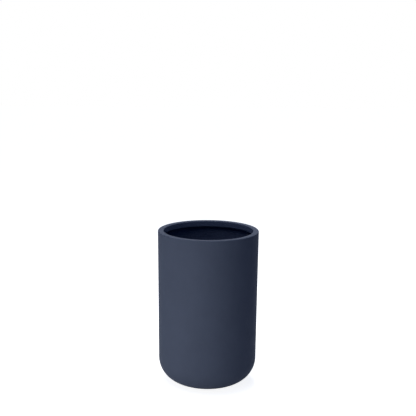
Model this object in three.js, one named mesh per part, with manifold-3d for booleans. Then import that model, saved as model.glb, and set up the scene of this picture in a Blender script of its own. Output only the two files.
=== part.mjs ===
// Tall round fiberglass planter: a thin laminated tub with a turned-in rim, a drain hole with its
// rubber plug, a lift-out shelf on four bonded brackets, and four rubber feet.
// Millimetres, +Z up. The origin is on the floor, at the centre of the footprint.

import * as THREE from "three";
import { mergeVertices } from "three/addons/utils/BufferGeometryUtils.js";
import Module from "manifold-3d";

const wasm = await Module();
wasm.setup();

// ---- Driving dimensions ----

// Tub
const planterHeight = 610; // floor to the top of the rim
const rimRadius = 196; // outside, at the top
const taper = 3.8; // how much the radius shrinks from the rim down to the base
const bottomRound = 93; // radius of the big round between wall and base
const wall = 4; // laminate of the side wall
const baseThickness = 6; // the base has extra layers

// Rim: a flat land that turns down on the inside, so the edge looks solid
const rimWidth = 22; // outer wall to inner face
const rimDrop = 24; // height of the turned-down inner face
const rimSkin = 4; // laminate of the land and of the turned-down face
const rimOuterRound = 4;
const rimInnerRound = 3;
const rimRootRound = 3; // inside corners of the channel behind the rim

// Drain hole and plug
const drainRadius = 12.5;
const plugClearance = 0.3;
const plugFlangeLap = 6; // flange beyond the hole's edge
const plugFlangeThickness = 4;
const plugTail = 2; // shank below the base
const plugGrooveDepth = 0.7; // groove round the shank, above the sealing lip
const plugLipHeight = 2; // tapered lip at the tail
const plugGrooveSlope = 1; // height of each sloping side of the groove
const plugGrooveFloor = 1;
const plugFlangeRound = 2;
const plugTabWidth = 22;
const plugTabHeight = 18;
const plugTabThickness = 6;

// Feet
const footRadius = 14;
const footThickness = 4;
const footChamfer = 1;
const footInset = 10; // from the edge of the flat base
const footCount = 4;

// Lift-out shelf
const shelfTop = 305; // its top face, above the floor
const shelfClearance = 3; // between the shelf's edge and the rim that it is lifted through
const shelfThickness = 4;
const shelfFlangeDepth = 16; // top face to the bottom of the turned-down edge
const shelfFlangeThickness = 3.5;
const shelfEdgeRound = 2;
const shelfRibThickness = 3;
const shelfRibDepth = 13; // top face to the bottom of a rib
const shelfRibCount = 6;
const shelfHubRadius = 24;
const drainHoleRadius = 6;
const holeRingCount = 2;
const holesPerRing = 6; // each ring has this many more holes than the one inside it
const hubToHoles = 22; // hub to the nearest edge of the first ring's holes
const holesToSlots = 23; // edge of the last ring's holes to the finger slots
const fingerSlotLength = 78;
const fingerSlotWidth = 24;
const fingerSlotInset = 20; // shelf edge to the near side of the slot

// Brackets under the shelf
const bracketCount = 4;
const bracketWidth = 50;
const bracketOverlap = 21; // how far the seat reaches under the shelf
const bracketPlate = 5;
const bracketHeight = 48; // seat to the lowest point
const bracketPad = 4; // plate bonded to the wall
const bracketWeb = 6;
const bracketToe = 6; // seat left in front of the web
const shoulderHeight = 6; // stops that keep the shelf centred
const shoulderGap = 2;

// Fits
const bondLine = 0.3; // adhesive between bonded pieces
const seatGap = 0.3; // between pieces that only rest on each other

// Smoothness
const roundSteps = 72; // facets round the tub
const smallSteps = 24; // facets round small circles
const bottomSteps = 12; // along the big round at the base
const edgeSteps = 4; // along the small rounds of edges

// ---- Derived sizes ----

const baseUnderside = footThickness + bondLine;
const baseInside = baseUnderside + baseThickness;
const slope = taper / (planterHeight - baseUnderside);
const lean = Math.atan(slope);
const mouthRadius = rimRadius - rimWidth;
const shelfRadius = mouthRadius - shelfClearance;
const shelfSeat = shelfTop - shelfFlangeDepth; // underside of the shelf's edge
const shelfInside = shelfRadius - shelfFlangeThickness;
const slotCentre = shelfRadius - fingerSlotInset - fingerSlotWidth / 2;
const quarter = Math.PI / 2;

// ---- Materials ----

const paintedLaminate = new THREE.MeshStandardMaterial({ color: 0x434a5c, roughness: 0.55, metalness: 0 });
const bareLaminate = new THREE.MeshStandardMaterial({ color: 0x333948, roughness: 0.7, metalness: 0 });
const shelfPlastic = new THREE.MeshStandardMaterial({ color: 0x1d1f22, roughness: 0.6, metalness: 0 });
const rubber = new THREE.MeshStandardMaterial({ color: 0x17181a, roughness: 0.85, metalness: 0 });

// ---- Solids from geometries, and back ----

function solidOf(geometry) {
  const bare = geometry.clone();
  bare.deleteAttribute("normal");
  bare.deleteAttribute("uv");
  const merged = mergeVertices(bare, 1e-4);
  return new wasm.Manifold(
    new wasm.Mesh({
      numProp: 3,
      vertProperties: merged.attributes.position.array,
      triVerts: new Uint32Array(merged.index.array),
    }),
  );
}

function geometryOf(solid) {
  const mesh = solid.getMesh();
  const geometry = new THREE.BufferGeometry();
  geometry.setAttribute("position", new THREE.BufferAttribute(mesh.vertProperties, 3));
  geometry.setIndex(new THREE.BufferAttribute(mesh.triVerts, 1));
  geometry.computeVertexNormals();
  return geometry;
}

function namedMesh(name, geometry, material) {
  const mesh = new THREE.Mesh(geometry, material);
  mesh.name = name;
  return mesh;
}

// ---- Shapes ----

// Points along an arc in the (radius, height) plane.
function arc(centreR, centreZ, radius, from, to, steps) {
  return Array.from({ length: steps + 1 }, (_, i) => {
    const angle = from + ((to - from) * i) / steps;
    return new THREE.Vector2(centreR + radius * Math.cos(angle), centreZ + radius * Math.sin(angle));
  });
}

// A body of revolution about Z. The profile runs counter-clockwise in (radius, height).
function revolve(profile, segments) {
  return new THREE.LatheGeometry(profile, segments).rotateX(quarter);
}

// A flat shape pushed up from z by height.
function slab(shape, z, height) {
  const settings = { depth: height, bevelEnabled: false, curveSegments: smallSteps / 2 };
  return new THREE.ExtrudeGeometry(shape, settings).translate(0, 0, z);
}

// A (radius, height) outline at azimuth 0, given a width across.
function rib(outline, width) {
  const shape = new THREE.Shape(outline.map(([r, z]) => new THREE.Vector2(r, z)));
  const settings = { depth: width, bevelEnabled: false };
  return new THREE.ExtrudeGeometry(shape, settings).rotateX(quarter).translate(0, width / 2, 0);
}

function outerRadiusAt(z) {
  return rimRadius - slope * (planterHeight - z);
}

function wallRadiusAt(z) {
  return outerRadiusAt(z) - wall;
}

// The round between a leaning wall and a level face, touching both.
function wallToLevel(wallRadius, levelZ, radius, side, steps) {
  const centreZ = levelZ + side * radius;
  const centreR = wallRadius(centreZ) - radius * Math.hypot(1, slope);
  return arc(centreR, centreZ, radius, -lean, -side * quarter, steps);
}

// ---- Tub ----

const outsideRound = wallToLevel(outerRadiusAt, baseUnderside, bottomRound, 1, bottomSteps);
const insideRound = wallToLevel(wallRadiusAt, baseInside, bottomRound - wall, 1, bottomSteps);
const flatBaseRadius = outsideRound.at(-1).x;

// From the drain hole out and up the outside, over the rim, round its turned-down edge, through
// the channel behind it and down the inside.
function tubProfile() {
  const innerRoundR = mouthRadius + rimInnerRound;
  const innerRoundZ = planterHeight - rimInnerRound;
  const edgeRound = rimSkin / 2;
  const edgeR = mouthRadius + edgeRound;
  const edgeZ = planterHeight - rimDrop + edgeRound;
  const rootZ = planterHeight - rimSkin - rimRootRound;
  const innerRootR = mouthRadius + rimSkin + rimRootRound;
  const outerRootR = wallRadiusAt(planterHeight - rimSkin) - rimRootRound;
  return [
    new THREE.Vector2(drainRadius, baseUnderside),
    ...outsideRound.slice().reverse(),
    ...wallToLevel(outerRadiusAt, planterHeight, rimOuterRound, -1, edgeSteps),
    ...arc(innerRoundR, innerRoundZ, rimInnerRound, quarter, 2 * quarter, edgeSteps),
    ...arc(edgeR, edgeZ, edgeRound, 2 * quarter, 4 * quarter, edgeSteps),
    ...arc(innerRootR, rootZ, rimRootRound, 2 * quarter, quarter, edgeSteps),
    ...arc(outerRootR, rootZ, rimRootRound, quarter, 0, edgeSteps),
    ...insideRound,
    new THREE.Vector2(drainRadius, baseInside),
    new THREE.Vector2(drainRadius, baseUnderside),
  ];
}

function tub() {
  return namedMesh("outer_shell", revolve(tubProfile(), roundSteps), paintedLaminate);
}

// The space inside the wall, less the bond line: a piece bonded at azimuth turn is trimmed to it.
function bondingSpace(turn) {
  const profile = [
    new THREE.Vector2(0, baseInside),
    new THREE.Vector2(wallRadiusAt(baseInside) - bondLine, baseInside),
    new THREE.Vector2(wallRadiusAt(planterHeight) - bondLine, planterHeight),
    new THREE.Vector2(0, planterHeight),
  ];
  return solidOf(revolve(profile, roundSteps).rotateZ(-turn));
}

// ---- Shelf ----

function stadium(length, width) {
  const straight = (length - width) / 2;
  const path = new THREE.Path();
  path.absarc(0, straight, width / 2, 0, 2 * quarter, false);
  path.absarc(0, -straight, width / 2, 2 * quarter, 4 * quarter, false);
  path.closePath();
  return path.getPoints(smallSteps / 2);
}

function ringOfPoints(count, radius, firstAngle) {
  return Array.from({ length: count }, (_, i) => {
    const angle = firstAngle + (i * 4 * quarter) / count;
    return new THREE.Vector2(radius * Math.cos(angle), radius * Math.sin(angle));
  });
}

// Rings of holes, evenly from the hub to the finger slots. They start half a hole's spacing apart.
function holeCentres() {
  const first = shelfHubRadius + hubToHoles + drainHoleRadius;
  const last = slotCentre - fingerSlotWidth / 2 - holesToSlots - drainHoleRadius;
  const step = (last - first) / (holeRingCount - 1);
  const centres = [];
  for (let i = 0; i < holeRingCount; i++) {
    const count = (i + 1) * holesPerRing;
    centres.push(...ringOfPoints(count, first + i * step, (i * 2 * quarter) / count));
  }
  return centres;
}

function shelfPlate() {
  const plate = new THREE.Shape(ringOfPoints(roundSteps, (shelfRadius + shelfInside) / 2, 0));
  for (const centre of holeCentres()) {
    const hole = new THREE.Path();
    hole.absarc(centre.x, centre.y, drainHoleRadius, 0, 4 * quarter, true);
    plate.holes.push(hole);
  }
  for (const side of [1, -1]) {
    const outline = stadium(fingerSlotLength, fingerSlotWidth);
    plate.holes.push(new THREE.Path(outline.map((p) => new THREE.Vector2(side * (p.x + slotCentre), p.y))));
  }
  return slab(plate, shelfTop - shelfThickness, shelfThickness);
}

function shelfEdge() {
  const profile = [
    new THREE.Vector2(shelfInside, shelfSeat),
    new THREE.Vector2(shelfRadius, shelfSeat),
    ...arc(shelfRadius - shelfEdgeRound, shelfTop - shelfEdgeRound, shelfEdgeRound, 0, quarter, edgeSteps),
    new THREE.Vector2(shelfInside, shelfTop),
    new THREE.Vector2(shelfInside, shelfSeat),
  ];
  return revolve(profile, roundSteps);
}

function shelfHub() {
  const ribUnderside = shelfTop - shelfRibDepth;
  const underPlate = shelfTop - shelfThickness / 2;
  const profile = [
    new THREE.Vector2(shelfHubRadius - shelfRibThickness, ribUnderside),
    new THREE.Vector2(shelfHubRadius, ribUnderside),
    new THREE.Vector2(shelfHubRadius, underPlate),
    new THREE.Vector2(shelfHubRadius - shelfRibThickness, underPlate),
    new THREE.Vector2(shelfHubRadius - shelfRibThickness, ribUnderside),
  ];
  return revolve(profile, smallSteps);
}

function shelfRib(turn) {
  const from = shelfHubRadius - shelfRibThickness / 2;
  const to = (shelfRadius + shelfInside) / 2;
  const bottom = shelfTop - shelfRibDepth;
  const top = shelfTop - shelfThickness / 2;
  const outline = [
    [from, bottom],
    [to, bottom],
    [to, top],
    [from, top],
  ];
  return rib(outline, shelfRibThickness).rotateZ(turn);
}

function shelf() {
  let solid = solidOf(shelfPlate()).add(solidOf(shelfEdge())).add(solidOf(shelfHub()));
  for (let i = 0; i < shelfRibCount; i++) {
    const turn = ((i + 0.5) * 4 * quarter) / shelfRibCount;
    solid = solid.add(solidOf(shelfRib(turn)));
  }
  return namedMesh("insert_shelf", geometryOf(solid), shelfPlastic);
}

// ---- Brackets ----

// Made at azimuth 0, for a place at azimuth turn.
function bracketSolid(turn) {
  const seat = shelfSeat - seatGap;
  const bottom = seat - bracketHeight;
  const toe = shelfRadius - bracketOverlap;
  const shoulder = shelfRadius + shoulderGap;
  const beyond = rimRadius; // trimmed back to the wall afterwards
  const padFace = wallRadiusAt(bottom) - bondLine - bracketPad;
  const plate = [
    [toe, seat - bracketPlate],
    [beyond, seat - bracketPlate],
    [beyond, seat + shoulderHeight],
    [shoulder, seat + shoulderHeight],
    [shoulder, seat],
    [toe, seat],
  ];
  const web = [
    [toe + bracketToe, seat - bracketPlate / 2],
    [padFace, bottom],
    [beyond, bottom],
    [beyond, seat - bracketPlate / 2],
  ];
  const pad = [
    [padFace, bottom],
    [beyond, bottom],
    [beyond, seat],
    [padFace, seat],
  ];
  return solidOf(rib(plate, bracketWidth))
    .add(solidOf(rib(web, bracketWeb)))
    .add(solidOf(rib(pad, bracketWidth)))
    .intersect(bondingSpace(turn));
}

function brackets() {
  const group = new THREE.Group();
  for (let i = 0; i < bracketCount; i++) {
    const turn = ((i + 0.5) * 4 * quarter) / bracketCount;
    const bracket = namedMesh(`shelf_bracket_${i + 1}`, geometryOf(bracketSolid(turn)), bareLaminate);
    bracket.rotation.z = turn;
    group.add(bracket);
  }
  return group;
}

// ---- Plug ----

const flangeUnder = baseInside + seatGap;
const flangeTop = flangeUnder + plugFlangeThickness;

function plugBody() {
  const shank = drainRadius - plugClearance;
  const groove = shank - plugGrooveDepth;
  const flange = drainRadius + plugFlangeLap;
  const tail = baseUnderside - plugTail;
  const lipTop = tail + plugLipHeight;
  const grooveFrom = lipTop + plugGrooveSlope;
  const grooveTo = grooveFrom + plugGrooveFloor;
  const profile = [
    new THREE.Vector2(0, tail),
    new THREE.Vector2(groove - plugGrooveDepth, tail),
    new THREE.Vector2(shank, lipTop),
    new THREE.Vector2(groove, grooveFrom),
    new THREE.Vector2(groove, grooveTo),
    new THREE.Vector2(shank, grooveTo + plugGrooveSlope),
    new THREE.Vector2(shank, flangeUnder),
    new THREE.Vector2(flange, flangeUnder),
    ...arc(flange - plugFlangeRound, flangeTop - plugFlangeRound, plugFlangeRound, 0, quarter, edgeSteps),
    new THREE.Vector2(0, flangeTop),
  ];
  return revolve(profile, smallSteps);
}

function plugTab() {
  const half = plugTabWidth / 2;
  const sunk = (flangeUnder + flangeTop) / 2;
  const shape = new THREE.Shape();
  shape.moveTo(-half, sunk);
  shape.lineTo(half, sunk);
  shape.absarc(0, flangeTop + plugTabHeight - half, half, 0, 2 * quarter, false);
  shape.closePath();
  const settings = { depth: plugTabThickness, bevelEnabled: false, curveSegments: smallSteps / 2 };
  return new THREE.ExtrudeGeometry(shape, settings).rotateX(quarter).translate(0, plugTabThickness / 2, 0);
}

function plug() {
  const solid = solidOf(plugBody()).add(solidOf(plugTab()));
  return namedMesh("drain_plug", geometryOf(solid), rubber);
}

// ---- Feet ----

function footGeometry() {
  const profile = [
    new THREE.Vector2(0, 0),
    new THREE.Vector2(footRadius - footChamfer, 0),
    new THREE.Vector2(footRadius, footChamfer),
    new THREE.Vector2(footRadius, footThickness),
    new THREE.Vector2(0, footThickness),
  ];
  return revolve(profile, smallSteps);
}

function feet() {
  const group = new THREE.Group();
  const circle = flatBaseRadius - footInset - footRadius;
  ringOfPoints(footCount, circle, (2 * quarter) / footCount).forEach((place, i) => {
    const foot = namedMesh(`foot_pad_${i + 1}`, footGeometry(), rubber);
    foot.position.set(place.x, place.y, 0);
    group.add(foot);
  });
  return group;
}

// ---- Assembly ----

const planter = new THREE.Group();
planter.add(tub(), shelf(), brackets(), plug(), feet());

export default planter;
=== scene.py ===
# A tall round planter of painted laminate with a thick turned-in rim, a lift-out shelf on four bonded
# brackets, a drain plug and four rubber feet. Metres, z up, the origin on the floor under its centre.
import math

import bmesh
import bpy
import numpy as np
from mathutils import Matrix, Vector
from mathutils.geometry import tessellate_polygon


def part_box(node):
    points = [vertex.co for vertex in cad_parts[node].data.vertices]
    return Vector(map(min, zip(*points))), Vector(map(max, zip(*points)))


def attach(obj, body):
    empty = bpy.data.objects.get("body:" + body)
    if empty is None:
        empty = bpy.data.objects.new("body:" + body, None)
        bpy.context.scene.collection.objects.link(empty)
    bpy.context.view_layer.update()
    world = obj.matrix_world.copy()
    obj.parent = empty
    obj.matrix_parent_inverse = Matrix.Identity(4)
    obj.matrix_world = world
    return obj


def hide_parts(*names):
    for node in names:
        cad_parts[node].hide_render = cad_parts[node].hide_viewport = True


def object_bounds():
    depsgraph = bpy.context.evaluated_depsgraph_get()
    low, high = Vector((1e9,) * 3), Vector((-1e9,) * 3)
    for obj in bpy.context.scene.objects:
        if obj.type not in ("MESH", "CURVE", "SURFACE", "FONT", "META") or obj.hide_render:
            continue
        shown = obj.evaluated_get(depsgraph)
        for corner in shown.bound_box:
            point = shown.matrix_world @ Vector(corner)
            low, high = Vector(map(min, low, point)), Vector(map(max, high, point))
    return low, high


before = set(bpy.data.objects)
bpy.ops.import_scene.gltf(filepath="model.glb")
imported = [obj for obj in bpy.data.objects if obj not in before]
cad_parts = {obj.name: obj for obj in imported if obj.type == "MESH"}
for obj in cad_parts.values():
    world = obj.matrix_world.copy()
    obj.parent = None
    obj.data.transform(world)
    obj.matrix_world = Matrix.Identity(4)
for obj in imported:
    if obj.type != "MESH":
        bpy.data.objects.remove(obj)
cadBox = [list(corner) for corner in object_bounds()]
print("frame loaded:", len(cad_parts), "nodes")

quarter = math.pi / 2
rimRadius = 0.196  # outside, at the top
samePlace = 1e-6  # points of a mesh closer than this are merged


# The camera of the photograph: a pinhole fitted to the planter's outline.
view = {
    "imagePixels": 416,
    "focalPixels": 760,
    "rimPixels": 50.46,  # one rim radius at the rim's centre
    "lookDown": 0.213,  # angle of the line from the lens to the rim's centre
    "pitch": 0.1843,  # angle of the optical axis
    "roll": 0.0092,
    "rightOfCentre": 0.6,  # pixels
    "sensor": 36,  # millimetres
}


def makeCamera():
    depth = view["focalPixels"] / view["rimPixels"] * rimRadius
    distance = depth / math.cos(view["lookDown"] - view["pitch"])
    side = -view["rightOfCentre"] / view["focalPixels"] * depth
    back = -distance * math.cos(view["lookDown"])
    up = cadBox[1][2] + distance * math.sin(view["lookDown"])
    data = bpy.data.cameras.new("camera")
    data.sensor_width = view["sensor"]
    data.lens = view["sensor"] * view["focalPixels"] / view["imagePixels"]
    camera = bpy.data.objects.new("camera", data)
    tilt = Matrix.Rotation(quarter - view["pitch"], 4, "X") @ Matrix.Rotation(view["roll"], 4, "Z")
    camera.matrix_world = Matrix.Translation((side, back, up)) @ tilt
    bpy.context.scene.collection.objects.link(camera)
    bpy.context.scene.camera = camera


makeCamera()
print("camera placed")


# Points on a circle: centre + radius (cos a, sin a), with a going evenly between two angles.
def arcPoints(centre, radius, fromAngle, toAngle, steps):
    angle = np.linspace(fromAngle, toAngle, steps + 1)
    return np.column_stack([centre[0] + radius * np.cos(angle), centre[1] + radius * np.sin(angle)])


# A whole circle with its last point left out.
def circlePoints(radius, count, centre=(0, 0)):
    return arcPoints(centre, radius, 0, 4 * quarter, count)[:-1]


# Adds a point near both ends of each long stretch, so that smooth shading only bends there.
def supported(line, near):
    step = np.diff(line, axis=0)
    length = np.hypot(step[:, 0], step[:, 1])
    unit = step / np.maximum(length, 1e-12)[:, None]
    rows = np.stack([line[:-1], line[:-1] + unit * near, line[1:] - unit * near], axis=1)
    isLong = length > 4 * near
    keep = np.stack([np.ones(len(step), bool), isLong, isLong], axis=1)
    return np.vstack([rows[keep], line[-1:]])


# A grid of points (levels, around, 3) that closes on itself the second way, as points and quads.
def gridSurface(points):
    levels, around = points.shape[:2]
    index = np.arange(levels * around).reshape(levels, around)
    low, high = index[:-1], index[1:]
    quads = np.stack([low, np.roll(low, -1, 1), np.roll(high, -1, 1), high], axis=-1)
    return points.reshape(-1, 3), quads.reshape(-1, 4)


# A surface through loops of (x, y), each at its own height.
def throughLoops(loops, heights):
    z = np.broadcast_to(heights[:, None, None], loops.shape[:2] + (1,))
    return gridSurface(np.concatenate([loops, z], axis=2))


# A profile turned about z: point = (r cos a, r sin a, z) for each (r, z) and each angle a.
def turned(profile, turns):
    return throughLoops(profile[:, None, :1] * circlePoints(1, turns)[None], profile[:, 1])


# A profile of (inset, z) carried round a loop that can be worked out for any inset.
def carried(loopAt, profile):
    return throughLoops(np.stack([loopAt(inset) for inset in profile[:, 0]]), profile[:, 1])


# The level face inside the first loop and outside the others.
def flatFace(loops, z):
    flat = np.vstack(loops)
    triangles = tessellate_polygon([np.pad(loop, ((0, 0), (0, 1))).tolist() for loop in loops])
    return np.column_stack([flat, np.full(len(flat), z)]), np.array(triangles)


# Corners rounded to one radius, as points and outward normals. Each corner becomes the arc
# centre + radius (cos a, sin a) that touches both its sides. The corners go anticlockwise.
def roundedOutline(corners, radius, steps):
    corners = np.array(corners, float)
    comeIn = corners - np.roll(corners, 1, 0)
    comeIn /= np.hypot(*comeIn.T)[:, None]
    goOut = np.roll(comeIn, -1, 0)
    cross = comeIn[:, 0] * goOut[:, 1] - comeIn[:, 1] * goOut[:, 0]
    bend = np.arctan2(cross, (comeIn * goOut).sum(1))
    side = np.sign(bend)[:, None]
    rightOf = np.column_stack([comeIn[:, 1], -comeIn[:, 0]])
    centre = corners - comeIn * radius * np.abs(np.tan(bend / 2))[:, None] - side * radius * rightOf
    share = np.linspace(0, 1, steps + 1)
    angle = np.arctan2(rightOf[:, 1], rightOf[:, 0])[:, None] + bend[:, None] * share
    normals = np.stack([np.cos(angle), np.sin(angle)], axis=-1)
    points = centre[:, None] + side[:, None] * radius * normals
    return points.reshape(-1, 2), normals.reshape(-1, 2)


# An upright (x, z) outline given a width along y, with round edges: near each end the outline
# draws in by edge (1 - sin a) while y moves by edge (1 - cos a).
def pressed(corners, width, corner, edge, steps=5):
    outline, normals = roundedOutline(corners, corner, steps)
    angle = np.linspace(0, quarter, steps + 1)
    inset = edge * (1 - np.sin(angle))
    along = -width / 2 + edge * (1 - np.cos(angle))
    inset = np.concatenate([inset, inset[::-1]])
    along = np.concatenate([along, -along[::-1]])
    flat = outline[None] - normals[None] * inset[:, None, None]
    across = np.broadcast_to(along[:, None], flat.shape[:2])
    wall = gridSurface(np.stack([flat[..., 0], across, flat[..., 1]], axis=-1))
    caps = []
    for y, loop in ((-width / 2, flat[0]), (width / 2, flat[-1])):
        points, triangles = flatFace([loop], 0)
        caps.append((np.column_stack([points[:, 0], np.full(len(points), y), points[:, 1]]), triangles))
    return [wall, *caps]


# Several surfaces as one mesh, with its doubles merged and its faces pointing out.
def closedMesh(name, surfaces):
    starts = np.cumsum([0] + [len(points) for points, _ in surfaces])
    corners = np.concatenate([(faces + start).ravel() for (_, faces), start in zip(surfaces, starts)])
    sizes = np.concatenate([np.full(len(faces), faces.shape[1]) for _, faces in surfaces])
    places = np.vstack([points for points, _ in surfaces])
    faceStarts = np.concatenate([[0], np.cumsum(sizes)[:-1]])
    mesh = bpy.data.meshes.new(name)
    mesh.vertices.add(starts[-1])
    mesh.vertices.foreach_set("co", places.astype(np.float32).ravel())
    mesh.loops.add(len(corners))
    mesh.loops.foreach_set("vertex_index", corners.astype(np.int32))
    mesh.polygons.add(len(sizes))
    mesh.polygons.foreach_set("loop_start", faceStarts.astype(np.int32))
    mesh.update(calc_edges=True)
    shape = bmesh.new()
    shape.from_mesh(mesh)
    bmesh.ops.remove_doubles(shape, verts=shape.verts, dist=samePlace)
    bmesh.ops.recalc_face_normals(shape, faces=shape.faces)
    shape.to_mesh(mesh)
    shape.free()
    mesh.shade_smooth()
    return mesh


# Overlapping bodies joined into one skin of small even faces, then smoothed, as a new mesh.
def oneSkin(name, surfaces, voxel, smoothing):
    shape = bpy.data.objects.new("shape", closedMesh(name, surfaces))
    bpy.context.scene.collection.objects.link(shape)
    skin = shape.modifiers.new("skin", "REMESH")
    skin.mode = "VOXEL"
    skin.voxel_size = voxel
    skin.adaptivity = 0
    smooth = shape.modifiers.new("smooth", "SMOOTH")
    smooth.factor = 0.5  # of the way to the neighbours' middle
    smooth.iterations = smoothing
    mesh = bpy.data.meshes.new_from_object(shape.evaluated_get(bpy.context.evaluated_depsgraph_get()))
    bpy.data.objects.remove(shape)
    mesh.shade_smooth()
    return mesh


# One vector of each item of a mesh, as an array.
def valuesOf(items, name):
    flat = np.zeros(len(items) * 3, np.float32)
    items.foreach_get(name, flat)
    return flat.reshape(-1, 3).astype(float)


# A value between 0 and 1 for each point, for the materials to read.
def keepValue(mesh, name, value):
    mesh.attributes.new(name, "FLOAT", "POINT").data.foreach_set("value", value.astype(np.float32))


def addPiece(name, mesh, finish, body, node):
    piece = bpy.data.objects.new(name, mesh)
    mesh.materials.clear()
    mesh.materials.append(finish)
    bpy.context.scene.collection.objects.link(piece)
    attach(piece, body)
    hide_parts(node)


# A written colour, 0 to 255, as the linear values that shaders take, by the sRGB curve.
def linearColour(red, green, blue, share=1):
    channel = np.array([red, green, blue]) / 255
    linear = np.where(channel <= 0.04045, channel / 12.92, ((channel + 0.055) / 1.055) ** 2.4)
    return (*(linear * share), 1)


def newFinish(name, sockets):
    finish = bpy.data.materials.new(name)
    finish.use_nodes = True
    shader = finish.node_tree.nodes["Principled BSDF"]
    for key, value in sockets.items():
        shader.inputs[key].default_value = value
    return finish, finish.node_tree, shader


# Links an input to a node's output, or sets it to a plain value.
def feed(tree, socket, value):
    if isinstance(value, bpy.types.NodeSocket):
        tree.links.new(value, socket)
    else:
        socket.default_value = value


# An underscore in an input's keyword stands for the space in its name, here and in dress.
def addNode(tree, kind, settings=None, **inputs):
    node = tree.nodes.new("ShaderNode" + kind)
    for key, value in (settings or {}).items():
        setattr(node, key, value)
    for key, value in inputs.items():
        feed(tree, node.inputs[key.replace("_", " ")], value)
    return node


def dress(tree, shader, **inputs):
    for key, socket in inputs.items():
        feed(tree, shader.inputs[key.replace("_", " ")], socket)


# The piece's own coordinates, in metres.
def ownPlace(tree):
    return addNode(tree, "TexCoord").outputs["Object"]


def noise(tree, place, size, detail=2, roughness=0.5, distortion=0):
    return addNode(tree, "TexNoise", None, Vector=place, Scale=1 / size, Detail=detail,
                   Roughness=roughness, Distortion=distortion).outputs["Fac"]


# Maps a value from one (low, high) span to another.
def ranged(tree, value, fromSpan, toSpan=(0, 1)):
    return addNode(tree, "MapRange", None, Value=value, From_Min=fromSpan[0], From_Max=fromSpan[1],
                   To_Min=toSpan[0], To_Max=toSpan[1]).outputs["Result"]


def calculated(tree, operation, *values):
    node = addNode(tree, "Math", {"operation": operation})
    for socket, value in zip(node.inputs, values):
        feed(tree, socket, value)
    return node.outputs[0]


# The Mix node's inputs 0, 6 and 7 and its output 2 are those for colours.
def mixedColour(tree, share, first, second):
    node = addNode(tree, "Mix", {"data_type": "RGBA"})
    for number, value in ((0, share), (6, first), (7, second)):
        feed(tree, node.inputs[number], value)
    return node.outputs[2]


# One colour between a darker and a lighter share of itself.
def mottled(tree, share, colour, span):
    return mixedColour(tree, share, linearColour(*colour, span[0]), linearColour(*colour, span[1]))


# Heights laid over each other as bumps; each one is (height socket, depth in metres).
def bumped(tree, *heights):
    normal = None
    for height, depth in heights:
        bump = addNode(tree, "Bump", None, Height=height, Distance=depth)
        if normal:
            tree.links.new(normal, bump.inputs["Normal"])
        normal = bump.outputs["Normal"]
    return normal


noiseSpan = (0.3, 0.7)  # where nearly all values of a noise lie
strands = {
    "directions": 4,
    "leans": (0.0, 0.9, -0.9),
    "twist": 0.4,  # share of the lean, about the second axis
    "length": 0.035,
    "width": 0.0013,
    "depth": 0.0014,
    "span": (0.5, 0.85),  # heights over which the colour goes from dark to light
}


# Chopped glass strands under resin: noise drawn out along several directions, the highest on top.
def strandMat(tree, place):
    layers = []
    for turn in np.arange(strands["directions"]) * 2 * quarter / strands["directions"]:
        for lean in strands["leans"]:
            mapping = addNode(tree, "Mapping", {"vector_type": "TEXTURE"}, Vector=place)
            mapping.inputs["Rotation"].default_value = (lean, strands["twist"] * lean, turn)
            mapping.inputs["Scale"].default_value = (strands["length"], strands["width"], strands["width"])
            layers.append(noise(tree, mapping.outputs["Vector"], 1, detail=1))
    height = layers[0]
    for layer in layers[1:]:
        height = calculated(tree, "MAXIMUM", height, layer)
    return height


paint = {
    "colour": (66, 73, 90),
    "clouding": (0.97, 1.03),  # darkest and lightest share of the colour
    "cloudSize": 0.09,
    # lighter and bluer than the outside paint: the rough inside finish, with painted fill light and a
    # painted blue shade tint inside the tub
    "insideColour": (70, 80, 106),
    "insideMottle": (0.72, 1.3),
    "roughness": 0.8,
    "roughSwing": 0.04,
    "roughSize": 0.03,
    "insideRougher": 0.15,
    "specular": 0.06,
    "peelSize": 0.0028,
    "peelDepth": 0.00009,
    "waveSize": 0.07,
    "waveDepth": 0.0006,
}


def paintedLaminate():
    finish, tree, shader = newFinish("blue_grey_paint", {
        "Roughness": paint["roughness"], "Specular IOR Level": paint["specular"]})
    place = ownPlace(tree)
    # Where this value is 1 the inside colour, lighter and bluer than the outside, lays painted fill light
    # and a blue shade tint over the rough inside finish.
    bareAndPaintedFill = addNode(tree, "Attribute", {"attribute_name": "bareAndPaintedFill"}).outputs["Fac"]
    cloud = ranged(tree, noise(tree, place, paint["cloudSize"], detail=3), noiseSpan)
    mat = strandMat(tree, place)
    outside = mottled(tree, cloud, paint["colour"], paint["clouding"])
    inside = mottled(tree, ranged(tree, mat, strands["span"]), paint["insideColour"], paint["insideMottle"])
    swing = (paint["roughness"] - paint["roughSwing"], paint["roughness"] + paint["roughSwing"])
    rough = ranged(tree, noise(tree, place, paint["roughSize"]), noiseSpan, swing)
    peel = noise(tree, place, paint["peelSize"])
    wave = noise(tree, place, paint["waveSize"])
    laid = calculated(tree, "MULTIPLY", mat, bareAndPaintedFill)
    heights = ((wave, paint["waveDepth"]), (peel, paint["peelDepth"]), (laid, strands["depth"]))
    dress(tree, shader, Base_Color=mixedColour(tree, bareAndPaintedFill, outside, inside),
          Roughness=calculated(tree, "MULTIPLY_ADD", bareAndPaintedFill, paint["insideRougher"], rough),
          Normal=bumped(tree, *heights))
    return finish


rawLaminate = {
    "colour": (46, 52, 66),
    "mottle": (0.85, 1.25),
    "roughness": (0.55, 0.75),
    "roughSize": 0.01,
    "specular": 0.25,
    "lumpSize": 0.006,
    "lumpDepth": 0.0012,
}


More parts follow.
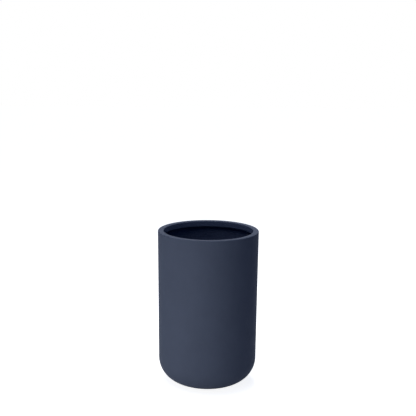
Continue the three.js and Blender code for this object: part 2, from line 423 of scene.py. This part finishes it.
def bareLaminate():
    finish, tree, shader = newFinish("rough_laminate", {"Specular IOR Level": rawLaminate["specular"]})
    place = ownPlace(tree)
    mat = strandMat(tree, place)
    patch = ranged(tree, mat, strands["span"])
    lumps = noise(tree, place, rawLaminate["lumpSize"], detail=3)
    rough = noise(tree, place, rawLaminate["roughSize"])
    dress(tree, shader, Base_Color=mottled(tree, patch, rawLaminate["colour"], rawLaminate["mottle"]),
          Roughness=ranged(tree, rough, noiseSpan, rawLaminate["roughness"]),
          Normal=bumped(tree, (lumps, rawLaminate["lumpDepth"]), (mat, strands["depth"])))
    return finish


plastic = {
    "dark": (27, 29, 32),
    "light": (33, 35, 38),
    "flowSize": 0.05,
    "flowBend": 0.6,
    "roughness": (0.52, 0.64),
    "specular": 0.35,
    "grainSize": 0.0009,
    "grainDepth": 0.00018,
}


def shelfPlastic():
    finish, tree, shader = newFinish("moulded_plastic", {"Specular IOR Level": plastic["specular"]})
    place = ownPlace(tree)
    stream = noise(tree, place, plastic["flowSize"], detail=3, distortion=plastic["flowBend"])
    flow = ranged(tree, stream, noiseSpan)
    grain = noise(tree, place, plastic["grainSize"], detail=3, roughness=0.6)
    dark, light = linearColour(*plastic["dark"]), linearColour(*plastic["light"])
    dress(tree, shader, Base_Color=mixedColour(tree, flow, dark, light),
          Roughness=ranged(tree, flow, (0, 1), plastic["roughness"]),
          Normal=bumped(tree, (grain, plastic["grainDepth"])))
    return finish


rubber = {
    "soft": {"dark": (20, 21, 23), "light": (30, 31, 33), "grainSize": 0.0006, "grainDepth": 0.00008},
    "hard": {"dark": (20, 21, 23), "light": (34, 35, 36), "grainSize": 0.0005, "grainDepth": 0.00010},
    "bloomSize": 0.008,
    "bloomSpan": (0.35, 0.75),
    "roughness": (0.7, 0.9),
    "specular": 0.3,
}


def mouldedRubber(kind):
    own = rubber[kind]
    finish, tree, shader = newFinish(kind + "_rubber", {"Specular IOR Level": rubber["specular"]})
    place = ownPlace(tree)
    cloud = noise(tree, place, rubber["bloomSize"], detail=4, roughness=0.6)
    bloom = ranged(tree, cloud, rubber["bloomSpan"])
    grain = noise(tree, place, own["grainSize"])
    dark, light = linearColour(*own["dark"]), linearColour(*own["light"])
    dress(tree, shader, Base_Color=mixedColour(tree, bloom, dark, light),
          Roughness=ranged(tree, bloom, (0, 1), rubber["roughness"]),
          Normal=bumped(tree, (grain, own["grainDepth"])))
    return finish


finishes = {
    "paintedLaminate": paintedLaminate(),
    "bareLaminate": bareLaminate(),
    "shelfPlastic": shelfPlastic(),
    "plugRubber": mouldedRubber("soft"),
    "footRubber": mouldedRubber("hard"),
}
print("finishes made:", len(finishes))


tub = {
    "taper": 0.0038,
    "bottomRound": 0.093,
    "wall": 0.004,
    "base": 0.006,
    "rimWidth": 0.022,
    "rimDrop": 0.024,
    "rimSkin": 0.004,
    "rimOuterRound": 0.004,
    "rimInnerRound": 0.003,
    "rimRootRound": 0.003,
    "drainRadius": 0.0125,
    "drainEdge": 0.0008,
    "insideFinishBelow": 0.005,  # how far under the top the outside paint gives way to the rough inside finish, with its painted fill light
    "support": 0.0015,
    "turns": 288,
    "steps": {"drain": 4, "outside": 44, "inside": 36, "outerRim": 10, "innerRim": 8, "lip": 10, "root": 6},
}
tubLow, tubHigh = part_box("outer_shell")
tub["top"] = tubHigh.z
tub["underside"] = tubLow.z
tub["inside"] = tubLow.z + tub["base"]
tub["slope"] = tub["taper"] / (tubHigh.z - tubLow.z)
tub["mouth"] = rimRadius - tub["rimWidth"]


# The side leans in evenly: the rim's radius less slope times the depth under the top.
def outerRadiusAt(z):
    return rimRadius - tub["slope"] * (tub["top"] - z)


def wallRadiusAt(z):
    return outerRadiusAt(z) - tub["wall"]


# The round between a leaning wall and a level face: its centre lies one radius from both.
def wallToLevel(wallRadius, levelZ, radius, side, steps):
    centreZ = levelZ + side * radius
    centreR = wallRadius(centreZ) - radius * math.hypot(1, tub["slope"])
    return arcPoints((centreR, centreZ), radius, -math.atan(tub["slope"]), -side * quarter, steps)


# From the drain hole out and up the outside, over the rim, round its turned-down edge, through the
# channel behind it and down the inside: arcs joined by straight stretches, as (radius, height).
def tubProfile():
    steps = tub["steps"]
    edge = tub["drainEdge"]
    drain = tub["drainRadius"] + edge
    inner = tub["rimInnerRound"]
    lip = tub["rimSkin"] / 2
    root = tub["rimRootRound"]
    rootZ = tub["top"] - tub["rimSkin"] - root
    rim = (tub["mouth"] + inner, tub["top"] - inner)
    lipCentre = (tub["mouth"] + lip, tub["top"] - tub["rimDrop"] + lip)
    innerRoot = (tub["mouth"] + tub["rimSkin"] + root, rootZ)
    outerRoot = (wallRadiusAt(tub["top"] - tub["rimSkin"]) - root, rootZ)
    insideRound = tub["bottomRound"] - tub["wall"]
    line = np.vstack([
        arcPoints((drain, tub["underside"] + edge), edge, 2 * quarter, 3 * quarter, steps["drain"]),
        wallToLevel(outerRadiusAt, tub["underside"], tub["bottomRound"], 1, steps["outside"])[::-1],
        wallToLevel(outerRadiusAt, tub["top"], tub["rimOuterRound"], -1, steps["outerRim"]),
        arcPoints(rim, inner, quarter, 2 * quarter, steps["innerRim"]),
        arcPoints(lipCentre, lip, 2 * quarter, 4 * quarter, steps["lip"]),
        arcPoints(innerRoot, root, 2 * quarter, quarter, steps["root"]),
        arcPoints(outerRoot, root, quarter, 0, steps["root"]),
        wallToLevel(wallRadiusAt, tub["inside"], insideRound, 1, steps["inside"]),
        arcPoints((drain, tub["inside"] - edge), edge, quarter, 2 * quarter, steps["drain"]),
    ])
    return supported(np.vstack([line, line[:1]]), tub["support"])


# The rough inside finish, its colour painted lighter and bluer as fill light and shade tint, where the
# normal points in, or up more than out.
# There it grows with the depth under the top, as depth divided by the depth where the inside finish starts,
# up to 1.
def makeTub():
    mesh = closedMesh("outer_shell", [turned(tubProfile(), tub["turns"])])
    place, normal = valuesOf(mesh.vertices, "co"), valuesOf(mesh.vertex_normals, "vector")
    outward = (place[:, :2] * normal[:, :2]).sum(1) / np.hypot(*place[:, :2].T)
    looksIn = outward < normal[:, 2]
    depth = np.clip((tub["top"] - place[:, 2]) / tub["insideFinishBelow"], 0, 1)
    keepValue(mesh, "bareAndPaintedFill", looksIn * depth)
    addPiece("painted_tub", mesh, finishes["paintedLaminate"], "planter", "outer_shell")


makeTub()
print("tub made")


shelf = {
    "thickness": 0.004,
    "flange": 0.0035,
    "edgeRound": 0.002,
    "rib": 0.003,
    "ribDepth": 0.013,
    "ribCount": 6,
    "hub": 0.024,
    "holeRadius": 0.006,
    "holeRings": 2,
    "holesPerRing": 6,
    "hubToHoles": 0.022,
    "holesToSlots": 0.023,
    "slotLength": 0.078,
    "slotWidth": 0.024,
    "slotInset": 0.020,
    "slotLip": 0.002,
    "slotLipDepth": 0.010,
    "pocketCorner": 0.004,
    "ledge": 0.0016,  # the edge is this much thicker above the ribs' undersides
    "smallEdge": 0.0005,
    "smallRoot": 0.0006,
    "support": 0.0002,
    "turns": 288,
    "holeSteps": 32,
    "smallSteps": 4,  # along the smallest rounds
    "edgeSteps": 8,
    "cornerSteps": 6,
    "pocketSteps": {"edge": 48, "hub": 12},
}
shelfLow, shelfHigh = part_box("insert_shelf")
shelf["top"] = shelfHigh.z
shelf["bottom"] = shelfLow.z
shelf["radius"] = shelfHigh.x
shelf["floor"] = shelfHigh.z - shelf["thickness"]
shelf["ribBottom"] = shelfHigh.z - shelf["ribDepth"]
shelf["inside"] = shelf["radius"] - shelf["flange"]
shelf["slotCentre"] = shelf["radius"] - shelf["slotInset"] - shelf["slotWidth"] / 2
shelf["sector"] = 4 * quarter / shelf["ribCount"]


# The ledge over the ribs' undersides, down and round the turned-down edge, and up to the top face.
def shelfEdgeProfile():
    edge, root, step, small = shelf["smallEdge"], shelf["smallRoot"], shelf["support"], shelf["smallSteps"]
    inside, radius, top, bottom = shelf["inside"], shelf["radius"], shelf["top"], shelf["bottom"]
    topRound = shelf["edgeRound"]
    return supported(np.vstack([
        [[inside - root - step, shelf["ribBottom"]]],
        arcPoints((inside - root, shelf["ribBottom"] - root), root, quarter, 0, small),
        arcPoints((inside + edge, bottom + edge), edge, 2 * quarter, 3 * quarter, small),
        arcPoints((radius - edge, bottom + edge), edge, 3 * quarter, 4 * quarter, small),
        arcPoints((radius - topRound, top - topRound), topRound, 0, quarter, shelf["edgeSteps"]),
        [[radius - topRound - step, top]],
    ]), step)


# A round or long hole as its outline drawn out by any amount: two half circles around the ends.
def holeLoop(hole, outset):
    x, y, straight, radius = hole
    steps = shelf["holeSteps"] // 2
    upper = arcPoints((x, y + straight / 2), radius + outset, 0, 2 * quarter, steps)
    lower = arcPoints((x, y - straight / 2), radius + outset, 2 * quarter, 4 * quarter, steps)
    return np.vstack([upper, lower]) if straight else circlePoints(radius + outset, 2 * steps, (x, y))


# Rings spaced evenly from the hub to the slots. Hole k of a ring lies at radius (cos a, sin a), with
# a = ring's turn + k full turns / count. Each hole is (x, y, straight length, end radius).
def drainHoles():
    first = shelf["hub"] + shelf["hubToHoles"] + shelf["holeRadius"]
    last = shelf["slotCentre"] - shelf["slotWidth"] / 2 - shelf["holesToSlots"] - shelf["holeRadius"]
    holes = []
    for ring, radius in enumerate(np.linspace(first, last, shelf["holeRings"])):
        count = (ring + 1) * shelf["holesPerRing"]
        turn = ring * 2 * quarter / count
        angle = turn + np.arange(count) * 4 * quarter / count
        holes += [(radius * math.cos(a), radius * math.sin(a), 0, shelf["holeRadius"]) for a in angle]
    return holes


# The two long holes for the fingers, in the same form.
def fingerSlots():
    straight = shelf["slotLength"] - shelf["slotWidth"]
    return [(side * shelf["slotCentre"], 0, straight, shelf["slotWidth"] / 2) for side in (1, -1)]


# Down through a hole, as (outset, height). A finger slot has a lip under it, a drain hole has none.
def holeProfile(lip, lipDepth):
    edge, root, step, small = shelf["smallEdge"], shelf["smallRoot"], shelf["support"], shelf["smallSteps"]
    top, floor = shelf["top"], shelf["floor"]
    parts = [[[edge + step, top]], arcPoints((edge, top - edge), edge, quarter, 2 * quarter, small)]
    if lip:
        bottom = top - lipDepth
        parts += [
            arcPoints((edge, bottom + edge), edge, 2 * quarter, 3 * quarter, small),
            arcPoints((lip - edge, bottom + edge), edge, 3 * quarter, 4 * quarter, small),
            arcPoints((lip + root, floor - root), root, 2 * quarter, quarter, small),
            [[lip + root + step, floor]],
        ]
    else:
        parts += [
            arcPoints((edge, floor + edge), edge, 2 * quarter, 3 * quarter, small),
            [[edge + step, floor]],
        ]
    return supported(np.vstack(parts), step)


# Every hole of the shelf with its profile.
def shelfHoles():
    drainLine = holeProfile(0, 0)
    slotLine = holeProfile(shelf["slotLip"], shelf["slotLipDepth"])
    return [(hole, drainLine) for hole in drainHoles()] + [(slot, slotLine) for slot in fingerSlots()]


# The holes' outlines at the first (0) or last (-1) point of their profiles.
def holeEnds(holes, end):
    return [holeLoop(hole, line[end, 0]) for hole, line in holes]


# The pocket between two ribs, the hub and the edge, drawn in by inset: four round corners whose
# centres stay, an arc along the edge and an arc along the hub. It is centred on azimuth 0.
def pocketLoop(inset):
    corner = shelf["pocketCorner"]
    half = 2 * quarter / shelf["ribCount"]
    off = shelf["rib"] / 2 + corner
    outerReach = shelf["inside"] - shelf["ledge"] - corner
    innerReach = shelf["hub"] + corner
    outerTurn = half - math.asin(off / outerReach)
    innerTurn = half - math.asin(off / innerReach)
    outer = outerReach * np.array([math.cos(outerTurn), math.sin(outerTurn)])
    inner = innerReach * np.array([math.cos(innerTurn), math.sin(innerTurn)])
    mirror = np.array([1, -1])
    radius = corner - inset
    ribSide = quarter + half
    steps, along = shelf["cornerSteps"], shelf["pocketSteps"]
    return np.vstack([
        arcPoints(outer * mirror, radius, -ribSide, -outerTurn, steps),
        arcPoints((0, 0), outerReach + corner - inset, -outerTurn, outerTurn, along["edge"])[1:-1],
        arcPoints(outer, radius, outerTurn, ribSide, steps),
        arcPoints(inner, radius, ribSide, 2 * quarter + innerTurn, steps),
        arcPoints((0, 0), innerReach - corner + inset, innerTurn, -innerTurn, along["hub"])[1:-1],
        arcPoints(inner * mirror, radius, 2 * quarter - innerTurn, 4 * quarter - ribSide, steps),
    ])


# The pocket turned by t to its own place: (x cos t - y sin t, x sin t + y cos t).
def pocketAt(number):
    angle = number * shelf["sector"]
    turn = np.array([[math.cos(angle), math.sin(angle)], [-math.sin(angle), math.cos(angle)]])
    return lambda inset: pocketLoop(inset) @ turn


# The round hollow inside the hub, drawn in by inset.
def hubLoop(inset):
    return circlePoints(shelf["hub"] - shelf["rib"] - inset, shelf["holeSteps"] * 2)


# From a hollow's ceiling down to the ribs' undersides, as (inset, height).
def pocketProfile():
    edge, root, step, small = shelf["smallEdge"], shelf["smallRoot"], shelf["support"], shelf["smallSteps"]
    floor, bottom = shelf["floor"], shelf["ribBottom"]
    return supported(np.vstack([
        [[root + step, floor]],
        arcPoints((root, floor - root), root, quarter, 2 * quarter, small),
        arcPoints((-edge, bottom + edge), edge, 0, -quarter, small),
        [[-edge - step, bottom]],
    ]), step)


# Each hollow under the shelf, as its outline for any inset and the holes that open into it.
def shelfHollows(holes):
    count = shelf["ribCount"]
    numbers = [round(math.atan2(hole[1], hole[0]) / shelf["sector"]) % count for hole, _ in holes]
    hollows = [(hubLoop, [])]
    for number in range(count):
        within = [item for item, where in zip(holes, numbers) if where == number]
        hollows.append((pocketAt(number), within))
    return hollows


# The turned edge, the holes' walls, the level top, the hollows' walls and ceilings, and the level
# underside of the ribs, sewn together.
def makeShelf():
    edgeLine, pocketLine = shelfEdgeProfile(), pocketProfile()
    holes = shelfHoles()
    surfaces = [turned(edgeLine, shelf["turns"])]
    surfaces += [carried(lambda outset: holeLoop(hole, outset), line) for hole, line in holes]
    topEdge = circlePoints(edgeLine[-1, 0], shelf["turns"])
    surfaces.append(flatFace([topEdge, *holeEnds(holes, 0)], shelf["top"]))
    underLoops = [circlePoints(edgeLine[0, 0], shelf["turns"])]
    for loopAt, within in shelfHollows(holes):
        surfaces.append(carried(loopAt, pocketLine))
        surfaces.append(flatFace([loopAt(pocketLine[0, 0]), *holeEnds(within, -1)], shelf["floor"]))
        underLoops.append(loopAt(pocketLine[-1, 0]))
    surfaces.append(flatFace(underLoops, shelf["ribBottom"]))
    mesh = closedMesh("insert_shelf", surfaces)
    addPiece("lift_out_shelf", mesh, finishes["shelfPlastic"], "shelf", "insert_shelf")


makeShelf()
print("shelf made")


bracket = {
    "count": 4,
    "width": 0.050,
    "overlap": 0.021,
    "plate": 0.005,
    "height": 0.048,
    "pad": 0.004,
    "web": 0.006,
    "toe": 0.006,
    "shoulder": 0.006,
    "shoulderGap": 0.002,
    "seatGap": 0.0003,
    "bondLine": 0.0003,
    "corner": 0.0015,
    "edge": 0.0012,
    "paste": 0.007,  # reach of the filler in the inside corners
    "voxel": 0.0009,
    "smoothing": 8,
}


# Moves what lies near the wall in by the wall's own rise, r - sqrt(r^2 - y^2), so it follows the round.
def bentToWall(surfaces, fromX, toX):
    bent = []
    for points, faces in surfaces:
        x, y, z = points.T
        radius = wallRadiusAt(z)
        share = np.clip((x - fromX) / (toX - fromX), 0, 1)
        bent.append((np.column_stack([x - share * (radius - np.sqrt(radius ** 2 - y ** 2)), y, z]), faces))
    return bent


# The seat with its shoulder, the pad on the wall, the web and the filler in the corner between them:
# upright (x, z) outlines given widths along y, bent to the wall and joined.
def bracketShape():
    seat = shelf["bottom"] - bracket["seatGap"]
    bottom = seat - bracket["height"]
    toe = shelf["radius"] - bracket["overlap"]
    shoulder = shelf["radius"] + bracket["shoulderGap"]
    low = wallRadiusAt(bottom) - bracket["bondLine"]
    high = wallRadiusAt(seat + bracket["shoulder"]) - bracket["bondLine"]
    padFace = low - bracket["pad"]
    under = seat - bracket["plate"]
    middle = seat - bracket["plate"] / 2
    paste = bracket["paste"]
    wide = bracket["width"]
    plate = [(toe, under), (high, under), (high, seat + bracket["shoulder"]),
             (shoulder, seat + bracket["shoulder"]), (shoulder, seat), (toe, seat)]
    pad = [(padFace, bottom), (low, bottom), (high, middle), (padFace, middle)]
    web = [(toe + bracket["toe"], middle), (padFace, bottom), (low, bottom), (low, middle)]
    filler = [(padFace - paste, middle), (padFace + bracket["pad"] / 2, under - paste),
              (low, under - paste), (low, middle)]
    surfaces = []
    for outline, width in ((plate, wide), (pad, wide), (web, bracket["web"]),
                           (filler, wide - 2 * bracket["plate"])):
        part = pressed(outline, width, bracket["corner"], bracket["edge"])
        surfaces += bentToWall(part, shoulder, padFace)
    return oneSkin("bracket", surfaces, bracket["voxel"], bracket["smoothing"])


def makeBrackets():
    shape = bracketShape()
    for number in range(bracket["count"]):
        mesh = shape.copy()
        mesh.transform(Matrix.Rotation((number + 0.5) * 4 * quarter / bracket["count"], 4, "Z"))
        addPiece(f"laid_up_bracket_{number + 1}", mesh, finishes["bareLaminate"], "planter",
                 f"shelf_bracket_{number + 1}")


makeBrackets()
print("brackets made:", bracket["count"])


plug = {
    "clearance": 0.0003,
    "lap": 0.006,
    "flange": 0.004,
    "flangeRound": 0.0018,
    "tail": 0.002,
    "lip": 0.002,
    "grooveDepth": 0.0007,
    "grooveFrom": 0.003,
    "grooveTo": 0.004,
    "seatGap": 0.0003,
    "tabWidth": 0.022,
    "tabHeight": 0.018,
    "tabThickness": 0.006,
    "tabCorner": 0.0004,
    "tabEdge": 0.0012,
    "gripCount": 4,
    "gripStep": 0.003,
    "gripSize": 0.0012,
    "gripTop": 0.004,  # the highest grip bar above the middle of the tab's round
    "gripReach": 0.6,  # share of the tab's width
    "gripRound": 0.3,  # share of the bar's size
    "turns": 128,
    "tabSteps": 24,
    "smallSteps": 4,
    "flangeSteps": 6,
    "support": 0.0002,
    "voxel": 0.0004,
    "smoothing": 3,
}


# Half of the plug as (radius, height): the tapered tail, the round lip, the groove, the shank, and the
# flange with its rounds, joined by straight stretches.
def plugProfile():
    shank = tub["drainRadius"] - plug["clearance"]
    groove = shank - plug["grooveDepth"]
    flange = tub["drainRadius"] + plug["lap"]
    tail = tub["underside"] - plug["tail"]
    under = tub["inside"] + plug["seatGap"]
    top = under + plug["flange"]
    small, topRound, steps = plug["grooveDepth"], plug["flangeRound"], plug["smallSteps"]
    return supported(np.vstack([
        [[0, tail]],
        [[groove - 2 * small, tail]],
        [[shank - small / 2, tail + plug["lip"] - small]],
        arcPoints((shank - small, tail + plug["lip"]), small, -quarter / 2, quarter / 2, steps),
        [[groove, tail + plug["grooveFrom"]]],
        [[groove, tail + plug["grooveTo"]]],
        [[shank, tail + plug["grooveTo"] + small]],
        [[shank, under]],
        arcPoints((flange - small, under + small), small, -quarter, 0, steps),
        arcPoints((flange - topRound, top - topRound), topRound, 0, quarter, plug["flangeSteps"]),
        [[0, top]],
    ]), plug["support"])


# The profile turned about z, with an upright tab, flat below and a half circle above, and grip bars
# across it, all joined.
def plugShape():
    top = tub["inside"] + plug["seatGap"] + plug["flange"]
    half = plug["tabWidth"] / 2
    middle = top + plug["tabHeight"] - half
    sunk = top - plug["flange"] / 2
    crown = arcPoints((0, middle), half, 0, 2 * quarter, plug["tabSteps"])
    tab = np.vstack([[[-half, sunk], [half, sunk]], crown[1:-1]])
    surfaces = [turned(plugProfile(), plug["turns"])]
    surfaces += pressed(tab, plug["tabThickness"], plug["tabCorner"], plug["tabEdge"])
    size, reach = plug["gripSize"], half * plug["gripReach"]
    edge = size * plug["gripRound"]
    for number in range(plug["gripCount"]):
        z = middle - number * plug["gripStep"] + plug["gripTop"]
        bar = [(-reach, z), (reach, z), (reach, z + size), (-reach, z + size)]
        surfaces += pressed(bar, plug["tabThickness"] + size, edge, edge)
    return oneSkin("plug", surfaces, plug["voxel"], plug["smoothing"])


addPiece("rubber_plug", plugShape(), finishes["plugRubber"], "plug", "drain_plug")
print("plug made")


foot = {
    "count": 4,
    "chamfer": 0.0012,
    "grooves": 3,
    "grooveStep": 0.0032,
    "grooveWidth": 0.0012,
    "grooveDepth": 0.0005,
    "bead": 0.0007,
    "beadHeight": 0.0011,
    "topGap": 0.00005,  # left under the tub's base
    "turns": 128,
    "grooveSteps": 8,
    "chamferSteps": 6,
    "support": 0.0002,
}


# Half of a foot as (radius, height): grooves pressed into its underside, each one depth (1 - t^2) high
# for t from -1 to 1 across it, then a round edge, the wall and a bead of adhesive.
def footProfile(radius, height):
    chamfer = foot["chamfer"]
    across = np.linspace(-1, 1, foot["grooveSteps"] + 1)
    groove = np.column_stack([foot["grooveWidth"] / 2 * across, foot["grooveDepth"] * (1 - across ** 2)])
    rows = [[[0, 0]]]
    rows += [groove + [(number + 1) * foot["grooveStep"], 0] for number in range(foot["grooves"])]
    rows.append(arcPoints((radius - chamfer, chamfer), chamfer, -quarter, 0, foot["chamferSteps"]))
    bead = height - foot["beadHeight"]
    rows.append([[radius, bead], [radius + foot["bead"], height], [0, height]])
    return supported(np.vstack(rows), foot["support"])


def makeFeet():
    for number in range(foot["count"]):
        name = f"foot_pad_{number + 1}"
        low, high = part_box(name)
        middle = (low + high) / 2
        profile = footProfile((high.x - low.x) / 2, tub["underside"] - foot["topGap"])
        points, faces = turned(profile, foot["turns"])
        mesh = closedMesh(name, [(points + [middle.x, middle.y, 0], faces)])
        addPiece(f"rubber_foot_{number + 1}", mesh, finishes["footRubber"], "planter", name)


makeFeet()
print("feet made:", foot["count"])


stage = {
    "size": 40,
    "floorColour": 0.8,
    "floorGap": 0.0002,  # between the feet and the floor, so that their faces don't flicker
    "whiteNear": 0.86,  # the plain white laid over the floor beside the planter, under its shadow
    "whiteFar": 1,
    "nearReach": 0.3,
    "farReach": 1.1,
    "ambient": (0, 0.038, 0.13),
}


# True for what the lens sees straight, in a reflection or through glass.
def seenRay(tree):
    path = addNode(tree, "LightPath")
    seen = calculated(tree, "MAXIMUM", path.outputs["Is Camera Ray"], path.outputs["Is Glossy Ray"])
    return calculated(tree, "MAXIMUM", seen, path.outputs["Is Transmission Ray"])


# A pale floor that takes light and shadow, with a plain white laid over it for the lens. The white
# grows with the distance from the planter, sqrt(x^2 + y^2), to full white.
def makeFloor():
    half, level = stage["size"] / 2, -stage["floorGap"]
    corners = [(-half, -half, level), (half, -half, level), (half, half, level), (-half, half, level)]
    mesh = bpy.data.meshes.new("floor")
    mesh.from_pydata(corners, [], [(0, 1, 2, 3)])
    finish, tree, shader = newFinish("floor", {
        "Base Color": (*[stage["floorColour"]] * 3, 1), "Roughness": 1, "Specular IOR Level": 0})
    away = addNode(tree, "VectorMath", {"operation": "LENGTH"}, Vector=ownPlace(tree)).outputs["Value"]
    reach = (stage["nearReach"], stage["farReach"])
    white = ranged(tree, away, reach, (stage["whiteNear"], stage["whiteFar"]))
    glow = addNode(tree, "Emission", None, Strength=calculated(tree, "MULTIPLY", seenRay(tree), white))
    both = addNode(tree, "AddShader")
    tree.links.new(shader.outputs[0], both.inputs[0])
    tree.links.new(glow.outputs[0], both.inputs[1])
    tree.links.new(both.outputs[0], tree.nodes["Material Output"].inputs["Surface"])
    mesh.materials.append(finish)
    floor = bpy.data.objects.new("floor", mesh)
    bpy.context.scene.collection.objects.link(floor)


# White for the lens, and a faint blue as light for the planter.
def makeWorld():
    world = bpy.data.worlds.new("world")
    bpy.context.scene.world = world
    world.use_nodes = True
    tree = world.node_tree
    colour = mixedColour(tree, seenRay(tree), (*stage["ambient"], 1), (1, 1, 1, 1))
    tree.links.new(colour, tree.nodes["Background"].inputs["Color"])


# Each lamp: its turn from the lens's side (to the right is positive) and its height angle in degrees,
# its distance from the aim in metres, its width and height, its watts and its colour.
aim = (0, 0, 0.35)
lowColour = (1, 0.975, 0.9)
highColour = (1, 0.99, 0.96)
lamps = {
    "side": {"turn": -45, "rise": -4.4, "distance": 1.7, "size": (1.3, 0.4),
             "watts": 11.4, "colour": lowColour},
    "front": {"turn": -20, "rise": -4.4, "distance": 1.7, "size": (1.3, 0.4),
              "watts": 5, "colour": lowColour},
    "high": {"turn": -30, "rise": 60, "distance": 2.2, "size": (1.6, 1.2),
             "watts": 9.2, "colour": highColour},
    "top": {"turn": 0, "rise": 90, "distance": 2, "size": (0.5, 0.5),
            "watts": 16.5, "colour": highColour},
    "rear": {"turn": 180, "rise": 45, "distance": 2.4, "size": (0.7, 0.7),
             "watts": 21, "colour": highColour},
}


# A lamp on a sphere round the aim, facing it: out = (sin t cos e, -cos t cos e, sin e).
def makeLamps():
    for name, lamp in lamps.items():
        turn, rise = math.radians(lamp["turn"]), math.radians(lamp["rise"])
        out = np.array([math.sin(turn) * math.cos(rise), -math.cos(turn) * math.cos(rise), math.sin(rise)])
        across = np.array([math.cos(turn), math.sin(turn), 0])
        facing = Matrix(np.column_stack([across, np.cross(out, across), out])).to_4x4()
        data = bpy.data.lights.new(name, "AREA")
        data.shape = "RECTANGLE"
        data.size, data.size_y = lamp["size"]
        data.energy = lamp["watts"]
        data.color = lamp["colour"]
        light = bpy.data.objects.new(name, data)
        light.matrix_world = Matrix.Translation(aim + lamp["distance"] * out) @ facing
        bpy.context.scene.collection.objects.link(light)


makeFloor()
makeWorld()
makeLamps()
bpy.context.scene.view_settings.view_transform = "Standard"
print("stage and lamps placed")
